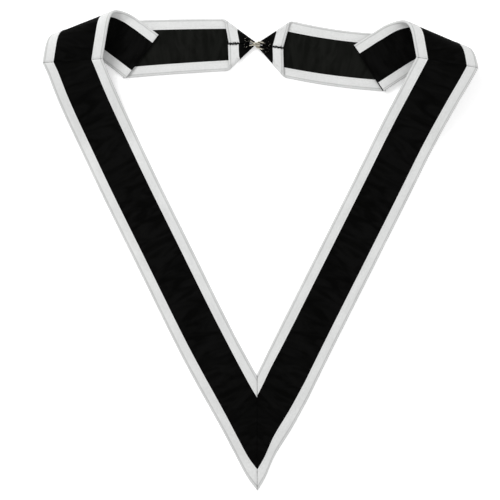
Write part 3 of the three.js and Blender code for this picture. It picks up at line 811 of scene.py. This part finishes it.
# The hook and eye, hooked together. Its own x runs from the hook's rings to the eye's, and its rings come in
# two pairs, the hook's first.
class Fastening:
    rings = (
        (-HOOK_REACH, -HOOK_SPREAD), (-HOOK_REACH, HOOK_SPREAD),
        (EYE_REACH, -EYE_SIDE), (EYE_REACH, EYE_SIDE),
    )

    def __init__(self, height):
        self.origin = Vector((0, height - FASTENING_DROP, 0))

    def place(self, x, y, z):
        return self.origin + Vector((
            x * cos(HOOK_TILT) - y * sin(HOOK_TILT), x * sin(HOOK_TILT) + y * cos(HOOK_TILT), z,
        ))

    def hook(self):
        pair = WIRE_STEP / 2

        def side(sign):
            foot = [(-back * HOOK_REACH, sign * apart * HOOK_SPREAD, 0) for back, apart in HOOK_FOOT]
            bend = [(ahead * HOOK_NOSE, sign * pair, rise * WIRE_STEP) for ahead, rise in HOOK_BEND]
            return [self.place(x, y, WIRE_SEAT + z) for x, y, z in foot + bend]

        bill = self.place(-BILL_REACH, 0, WIRE_SEAT + 2 * WIRE_STEP)
        return self.wire([*side(1), bill, *reversed(side(-1))], 6, self.rings[:2])

    def eye(self):
        def side(sign):
            return [
                self.place(along * EYE_REACH, sign * apart * EYE_SIDE, WIRE_SEAT + rise * WIRE_STEP)
                for along, apart, rise in EYE_LEG
            ]

        bar = self.place(-EYE_BAR, 0, WIRE_SEAT + WIRE_STEP)
        return self.wire([*side(1), bar, *reversed(side(-1))], 8, self.rings[2:])

    # One wire through its knots, with its two sewing rings
    def wire(self, knots, steps, rings):
        body = Body()
        body.add_tube(smooth_path(knots, steps), WIRE / 2, 14)
        for x, y in rings:
            add_ring(body, self.place(x, y, WIRE_SEAT), RING_RADIUS, WIRE / 2)
        return body

    # Black thread sewn over the rings and the legs' ends into the cloth
    def ring_thread(self, wraps=16, reach=165, shake=6):
        body = Body()
        draw = random.Random(wraps)
        self.add_leg_thread(body, draw)
        seat = FLAP_BASE + HALF_THICKNESS + RIBBON_HALF - 0.2
        over_wire = (
            (RING_RADIUS - WIRE, seat),
            (RING_RADIUS - 0.55 * WIRE, WIRE_SEAT + 0.3 * WIRE),
            (RING_RADIUS, WIRE_SEAT + 0.62 * WIRE),
            (RING_RADIUS + 0.6 * WIRE, WIRE_SEAT + 0.2 * WIRE),
            (RING_RADIUS + 0.95 * WIRE, seat),
        )
        for x, y in self.rings:
            for i in range(wraps):
                turn = mix(-reach, reach, i / (wraps - 1)) + draw.uniform(-shake, shake)
                turn += 180 if x < 0 else 0
                out_x, out_y = cos(turn), sin(turn)
                knots = [self.place(x + away * out_x, y + away * out_y, z) for away, z in over_wire]
                body.add_tube(smooth_path(knots, 3), RING_THREAD_RADIUS, 6)
        return body

    # A few turns of thread over each leg, between its ring and the place where it leaves the cloth
    def add_leg_thread(self, body, draw, turns=5):
        low, high = FLAP_BASE + CLOTH_THICKNESS - 0.4, WIRE_SEAT + 0.75 * WIRE
        over_wire = ((-1.25, low), (-0.8, high - 0.7), (0, high), (0.8, high - 0.7), (1.25, low))
        for x, side in ((-0.8 * HOOK_REACH, 0.85 * HOOK_SPREAD), (0.74 * EYE_REACH, EYE_SIDE)):
            for y in (-side, side):
                for i in range(turns):
                    at = x + (i - turns / 2) * 2 * LEG_THREAD_RADIUS + draw.uniform(-0.1, 0.1)
                    knots = [self.place(at, y + across, z) for across, z in over_wire]
                    body.add_tube(smooth_path(knots, 4), LEG_THREAD_RADIUS, 6)


# Uneven black stitches that draw the two flap ends of one strap together, with a thread along their gap
def junction_thread(neck, upper, seed, count=9):
    body = Body()
    draw = random.Random(seed)
    top = FLAP_BASE + CLOTH_THICKNESS
    far, near = upper.flap(0, 1).x - 0.6, upper.flap(EDGING_WIDTH, 1).x
    line = []
    for i in range(count):
        u = mix(far, near, (i + 0.3 * draw.random()) / count)
        slant = draw.uniform(-1.1, 1.1)
        reach = draw.uniform(1.1, 2.1)
        knots = [
            (u - slant, -reach, top - 0.5), (u - slant / 2, -reach / 2, top + 0.22), (u, 0, top + 0.15),
            (u + slant / 2, reach / 2, top + 0.22), (u + slant, reach, top - 0.5),
        ]
        path = smooth_path([neck.place((a, b), z) for a, b, z in knots], 3)
        body.add_tube(path, THREAD_RADIUS, 6)
        line.append(neck.place((u, draw.uniform(-0.3, 0.3)), top - 0.5))
    body.add_tube(smooth_path(line, 3), 2 * THREAD_RADIUS, 8)
    return body


# Thread in the seam between two strips of cloth, on both faces
def seam_thread(station, margin=0.015, steps=12):
    body = Body()
    for height in (-SEAM_THREAD_HEIGHT, SEAM_THREAD_HEIGHT):
        path = [station.at(mix(margin, 1 - margin, i / steps), height) for i in range(steps + 1)]
        body.add_tube(path, SEAM_THREAD_RADIUS, 8)
    return body


# Black thread along a shoulder's square end, where it is sewn down onto the neck strap. It is laid thick
# along the step, as painted shadow where the end stands on the strap.
def end_thread_and_shadow(end, seed, count=26):
    draw = random.Random(seed)
    way = (end.inner - end.outer).cross(end.normal).normalized()
    line = [
        end.at(mix(0.01, 0.99, i / count), draw.uniform(-0.9, -0.5)) + way * draw.uniform(0.2, 0.6)
        for i in range(count + 1)
    ]
    body = Body()
    body.add_tube(smooth_path(line, 3), 2 * THREAD_RADIUS, 8)
    return body


# Materials


class Shader:
    def __init__(self, name):
        self.material = bpy.data.materials.new(name)
        self.material.use_nodes = True
        self.nodes = self.material.node_tree.nodes
        self.links = self.material.node_tree.links
        self.surface = self.nodes["Principled BSDF"]

    def node(self, kind, inputs=None, **settings):
        made = self.nodes.new(kind)
        for key, value in settings.items():
            setattr(made, key, value)
        for key, value in (inputs or {}).items():
            if isinstance(value, bpy.types.NodeSocket):
                self.links.new(value, made.inputs[key])
            else:
                made.inputs[key].default_value = value
        return made

    def math(self, operation, *values):
        return self.node("ShaderNodeMath", dict(enumerate(values)), operation=operation).outputs[0]

    # The cloth's own coordinates in metres: along the ribbon and across it
    def cloth(self):
        places = self.node("ShaderNodeUVMap", uv_map="cloth")
        split = self.node("ShaderNodeSeparateXYZ", {0: places.outputs[0]})
        return split.outputs[0], split.outputs[1]

    # Noise over the cloth with its own size, in metres, along and across
    def noise(self, along, across, detail=3.0, distortion=0.0):
        u, v = self.cloth()
        place = self.node("ShaderNodeCombineXYZ", {
            0: self.math("DIVIDE", u, along), 1: self.math("DIVIDE", v, across),
        })
        made = self.node("ShaderNodeTexNoise", {
            "Vector": place.outputs[0], "Scale": 1.0, "Detail": detail, "Distortion": distortion,
        })
        return made.outputs[0]

    # Even ribs with a pitch in metres
    def ribs(self, place, pitch, shake=None):
        phase = self.math("MULTIPLY", place, 2 * math.pi / pitch)
        if shake is not None:
            phase = self.math("ADD", phase, shake)
        return self.math("SINE", phase)

    def color(self, share, low, high):
        made = self.node("ShaderNodeMix", {0: share}, data_type="RGBA", clamp_factor=False)
        made.inputs[6].default_value = (*low, 1)
        made.inputs[7].default_value = (*high, 1)
        self.links.new(made.outputs[2], self.surface.inputs["Base Color"])

    # Values from start to end become values from low to high
    def spread(self, value, low, high, start=0.35, end=0.65):
        return self.node("ShaderNodeMapRange", {0: value, 1: start, 2: end, 3: low, 4: high}).outputs[0]

    def bump(self, height, depth):
        made = self.node("ShaderNodeBump", {"Height": height, "Distance": depth, "Strength": 1.0})
        self.links.new(made.outputs[0], self.surface.inputs["Normal"])

    def set(self, **values):
        for key, value in values.items():
            socket = self.surface.inputs[key.replace("_", " ").title().replace("Ior", "IOR")]
            if isinstance(value, bpy.types.NodeSocket):
                self.links.new(value, socket)
            else:
                socket.default_value = value


# Pitches of the cloths' ribs and the half width of the painted shade line by an edge, in metres
CROSS_RIB, LONG_RIB = 0.00085, 0.0006
SLANT_RIB, BORDER_RIB = 0.00115, 0.0008
SHADE_LINE_REACH = 0.0011


# Watered ribbon: fine ribs across its length, pressed so that bands of them shine
def ribbon_material(name, low, high, shine):
    shader = Shader(name)
    u, v = shader.cloth()
    watered = shader.noise(0.014, 0.05, 4.0, 1.8)
    weave = shader.noise(0.0012, 0.0007, 2.0)
    ribs = shader.ribs(u, CROSS_RIB, shader.math("MULTIPLY", watered, 9.0))
    fine = shader.ribs(v, LONG_RIB)
    body = shader.math("ADD", shader.math("MULTIPLY", ribs, 0.6), shader.math("MULTIPLY", fine, 0.2))
    shader.color(shader.spread(watered, 0, 1, 0.38, 0.62), low, high)
    shader.set(roughness=shader.spread(watered, 0.68, 0.5), specular_ior_level=shine)
    shader.bump(shader.math("ADD", body, weave), 0.00012)
    return shader.material


# White woven binding: fine ribs along it and a soft grain, with painted shade on its rounded edge and a
# painted shade line along the groove by the edge
def edging_material(name, low, high):
    shader = Shader(name)
    u, v = shader.cloth()
    grain = shader.noise(0.0028, 0.0018, 3.0)
    cloud = shader.noise(0.03, 0.012, 2.0)
    from_edge = shader.math("MINIMUM", v, shader.math("SUBTRACT", RIBBON_WIDTH * UNIT, v))
    off_line = shader.math("ABSOLUTE", shader.math("SUBTRACT", from_edge, EDGE_LINE * UNIT))
    # Painted shade: a dark line along the groove by the edge
    line = shader.spread(off_line, 0.2, 0, 0, SHADE_LINE_REACH)
    # Painted shade on the rounded outer edge, darkest at the very edge
    rounded_edge_shade = shader.spread(from_edge, 0.12, 0, 0, HALF_THICKNESS * UNIT)
    slant = shader.ribs(shader.math("ADD", shader.math("MULTIPLY", u, 0.8), v), SLANT_RIB)
    along = shader.ribs(v, BORDER_RIB)
    tone = shader.spread(shader.math("MULTIPLY", shader.math("ADD", grain, cloud), 0.5), 0, 1, 0.3, 0.7)
    # The two painted shades together, taken nine times over, darken the base colour
    painted_shade = shader.math("ADD", line, rounded_edge_shade)
    shader.color(shader.math("SUBTRACT", tone, shader.math("MULTIPLY", painted_shade, 9.0)), low, high)
    shader.set(roughness=0.82, specular_ior_level=0.22, sheen_weight=0.12, sheen_roughness=0.45)
    body = shader.math("ADD", shader.math("MULTIPLY", slant, 0.5), shader.math("MULTIPLY", along, 0.3))
    shader.bump(shader.math("ADD", body, grain), 0.00016)
    return shader.material


def thread_material(name, color, roughness, shine):
    shader = Shader(name)
    place = shader.node("ShaderNodeNewGeometry").outputs["Position"]
    twist = shader.node("ShaderNodeTexNoise", {"Vector": place, "Scale": 2600.0, "Detail": 2.0}).outputs[0]
    shader.color(twist, [value * 0.85 for value in color], [min(1, value * 1.1) for value in color])
    shader.set(roughness=roughness, specular_ior_level=shine)
    shader.bump(twist, 0.00008)
    return shader.material


def metal_material(name):
    shader = Shader(name)
    place = shader.node("ShaderNodeNewGeometry").outputs["Position"]
    worn = shader.node("ShaderNodeTexNoise", {"Vector": place, "Scale": 420.0, "Detail": 4.0}).outputs[0]
    shader.color(worn, (0.4, 0.375, 0.31), (0.62, 0.59, 0.51))
    shader.set(metallic=1.0, roughness=shader.spread(worn, 0.24, 0.42))
    return shader.material


def floor_material(name, value, glow):
    shader = Shader(name)
    grain = shader.node("ShaderNodeTexNoise", {"Scale": 3.0}).outputs[0]
    shader.color(grain, [value] * 3, [value + 0.01] * 3)
    shader.set(roughness=0.9, specular_ior_level=0.1, emission_strength=glow)
    shader.surface.inputs["Emission Color"].default_value = (1, 1, 1, 1)
    return shader.material


BLACK_FRONT = ribbon_material("black_ribbon_face", (0.0016, 0.0016, 0.0015), (0.0036, 0.0036, 0.0035), 0.012)
BLACK_BACK = ribbon_material("black_ribbon_back", (0.0042, 0.0045, 0.0038), (0.0078, 0.0082, 0.0072), 0.02)
WHITE = edging_material("white_edging_cloth", (0.62, 0.625, 0.62), (0.74, 0.745, 0.74))
WHITE_THREAD = thread_material("white_thread", (0.62, 0.62, 0.6), 0.7, 0.2)
BLACK_THREAD = thread_material("black_thread", (0.0016, 0.0016, 0.0016), 0.6, 0.02)
METAL = metal_material("plated_wire")


# Pieces


def outline_area(stations):
    rows = [station.outer_cloth for station in stations] + [s.inner_cloth for s in reversed(stations)]
    pairs = zip(rows, rows[1:] + rows[:1])
    return abs(sum(a.x * b.y - b.x * a.y for a, b in pairs)) / 2


def cloth_length(stations):
    places = [s.outer_cloth.x for s in stations] + [s.inner_cloth.x for s in stations]
    return max(places) - min(places)


def place_thread(body, name, turn, finish=BLACK_THREAD):
    body.piece(name, turn, [finish])


def finish_cloth(node):
    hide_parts(node)


def finish_edging(edging, name, turn, stations, stitch_share):
    piece = edging.piece(f"{name}_cloth", turn, [WHITE])
    finish_cloth(name)
    stitches = Body()
    add_stitches(stitches, stations, stitch_share)
    place_thread(stitches, f"{name}_stitches", turn, WHITE_THREAD)


def dress_strip(part, half, stations):
    start = EDGE_INSET / RIBBON_WIDTH
    length = cloth_length(stations)
    ribbon = Body()
    ribbon.add_strip(stations, ribbon_section(start), pinch=0.35)
    piece = ribbon.piece(f"{part}_ribbon_{half.name}_cloth", half.turn, [BLACK_FRONT])
    width = RIBBON_WIDTH - 2 * EDGE_INSET
    area = outline_area(stations) * width / RIBBON_WIDTH
    finish_cloth(f"{part}_ribbon_{half.name}")
    section = edging_section(RIBBON_WIDTH)
    share = STITCH_INSET / RIBBON_WIDTH
    for side, places, at in (("outer", section, share), ("inner", far_side(section), 1 - share)):
        edging = Body()
        edging.add_strip(stations, places, 0.45, PUCKER, 3.1 * half.turn + at)
        ends = [station.cloth(at).x for station in (stations[0], stations[-1])]
        name = f"{part}_{side}_edging_{half.name}"
        finish_edging(edging, name, half.turn, stations, at)


def dress_neck(half, tip, shoulder_end):
    neck = NeckFrame(half, tip, shoulder_end)
    upper, lower = NeckSide(half, neck, 1), NeckSide(half, neck, -1)
    ribbon = Body()
    stations = neck_stations(upper, lower)
    ribbon.add_strip(stations, ribbon_section(0))
    area = sum(
        (a.outer_cloth - b.outer_cloth).length * ((a.outer - a.inner).length + (b.outer - b.inner).length) / 2
        for a, b in zip(stations, stations[1:])
    )
    for side in (upper, lower):
        flap = side.flap_stations()
        ribbon.add_strip(flap, ribbon_section(0, 12))
        area += side.tip_side ** 2 / tan(side.fold) / 2
    piece = ribbon.piece(f"neck_ribbon_{half.name}_cloth", half.turn, [BLACK_BACK, BLACK_FRONT])
    name = f"neck_ribbon_{half.name}"
    length = max(neck.upper_end, neck.lower_end)
    width = 2 * max(upper.end_side, upper.tip_side)
    finish_cloth(name)
    for word, side in (("upper", upper), ("lower", lower)):
        stations = side.edging_stations()
        edging = Body()
        edging.add_strip(stations, edging_section(EDGING_WIDTH), 0.25, PUCKER, 5.3 * half.turn + side.sign)
        steps = zip(stations, stations[1:])
        run = sum(((b.outer - a.outer).length + (b.inner - a.inner).length) / 2 for a, b in steps)
        name = f"neck_{word}_edging_{half.name}"
        finish_edging(edging, name, half.turn, stations, STITCH_INSET / EDGING_WIDTH)
    place_thread(junction_thread(neck, upper, 7 + half.turn), f"corner_thread_{half.name}", half.turn)


shoulders = [shoulder_stations(half) for half in HALVES]
lappets = [lappet_stations(half, stations[0]) for half, stations in zip(HALVES, shoulders)]
ends = [stations[-1] for stations in shoulders]
tip_height = sum(end.outer.y + end.inner.y for end in ends) / 4 + NECK_RISE

# The layout's origin in the collar's frame: x from a lappet's box and y from the hook's
SHIFT = Vector((
    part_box("lappet_ribbon_right")[0][0] / UNIT - SEAM_GAP / 2,
    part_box("hook")[1][1] / UNIT - max(point.y for point in Fastening(tip_height).hook().points),
    0,
))

for half, lappet, shoulder, end in zip(HALVES, lappets, shoulders, ends):
    tip = Vector((TIP_GAP / 2 - half.tip_hidden, tip_height + half.tip_side, 0))
    ripple(lappet, half.turn, 0.5)
    dress_strip("lappet", half, lappet)
    dress_strip("shoulder", half, shoulder)
    dress_neck(half, tip, end)
    place_thread(seam_thread(shoulder[0]), f"shoulder_seam_thread_{half.name}", half.turn)
    if half.name == "right":
        place_thread(seam_thread(lappet[0]), "point_seam_thread", half.turn)
        # Thread at the rear seam, thick enough to serve as painted shadow along the shoulder's end
        place_thread(end_thread_and_shadow(end, 3), "rear_seam_thread", half.turn)

fastening = Fastening(tip_height)
for name, body in (("hook", fastening.hook()), ("eye", fastening.eye())):
    piece = body.piece(f"{name}_wire", 1, [METAL])
    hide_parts(name)
place_thread(fastening.ring_thread(), "ring_thread", 1)


# Floor, light and camera

FLOOR_SIZE = 20.0
FLOOR_TONE = 0.93
FLOOR_GLOW = 0.32
SKY_STRENGTH = 0.72
FIELD = 0.559
CAMERA_HEIGHT = 1.15
CAMERA_PLACE = (-0.0110, 0.0010)
SENSOR = 36.0

# Lamps, all turned to the origin: name, place, size and power
LAMPS = (
    ("key_light", (-0.9, 1.1, 1.5), 0.9, 22),
    ("fill_light", (1.2, -0.9, 1.6), 1.4, 6),
)


def add_floor():
    bpy.ops.mesh.primitive_plane_add(size=FLOOR_SIZE, location=(0, 0, 0))
    floor = bpy.context.object
    floor.name = "floor"
    floor.data.materials.append(floor_material("pale_floor", FLOOR_TONE, FLOOR_GLOW))


def add_light(name, place, size, power):
    light = bpy.data.lights.new(name, "AREA")
    light.shape = "DISK"
    light.size = size
    light.energy = power
    lamp = bpy.data.objects.new(name, light)
    bpy.context.scene.collection.objects.link(lamp)
    lamp.location = place
    lamp.rotation_euler = (-Vector(place)).to_track_quat("-Z", "Y").to_euler()


def add_world(strength):
    world = bpy.data.worlds.new("studio")
    world.use_nodes = True
    background = world.node_tree.nodes["Background"]
    background.inputs["Color"].default_value = (1, 1, 1, 1)
    background.inputs["Strength"].default_value = strength
    bpy.context.scene.world = world


def add_camera():
    data = bpy.data.cameras.new("camera")
    data.sensor_width = SENSOR
    data.lens = SENSOR * CAMERA_HEIGHT / FIELD
    camera = bpy.data.objects.new("camera", data)
    bpy.context.scene.collection.objects.link(camera)
    camera.location = (*CAMERA_PLACE, CAMERA_HEIGHT)
    bpy.context.scene.camera = camera


bpy.context.scene.view_settings.view_transform = "Standard"
add_floor()
add_world(SKY_STRENGTH)
for lamp_row in LAMPS:
    add_light(*lamp_row)
add_camera()
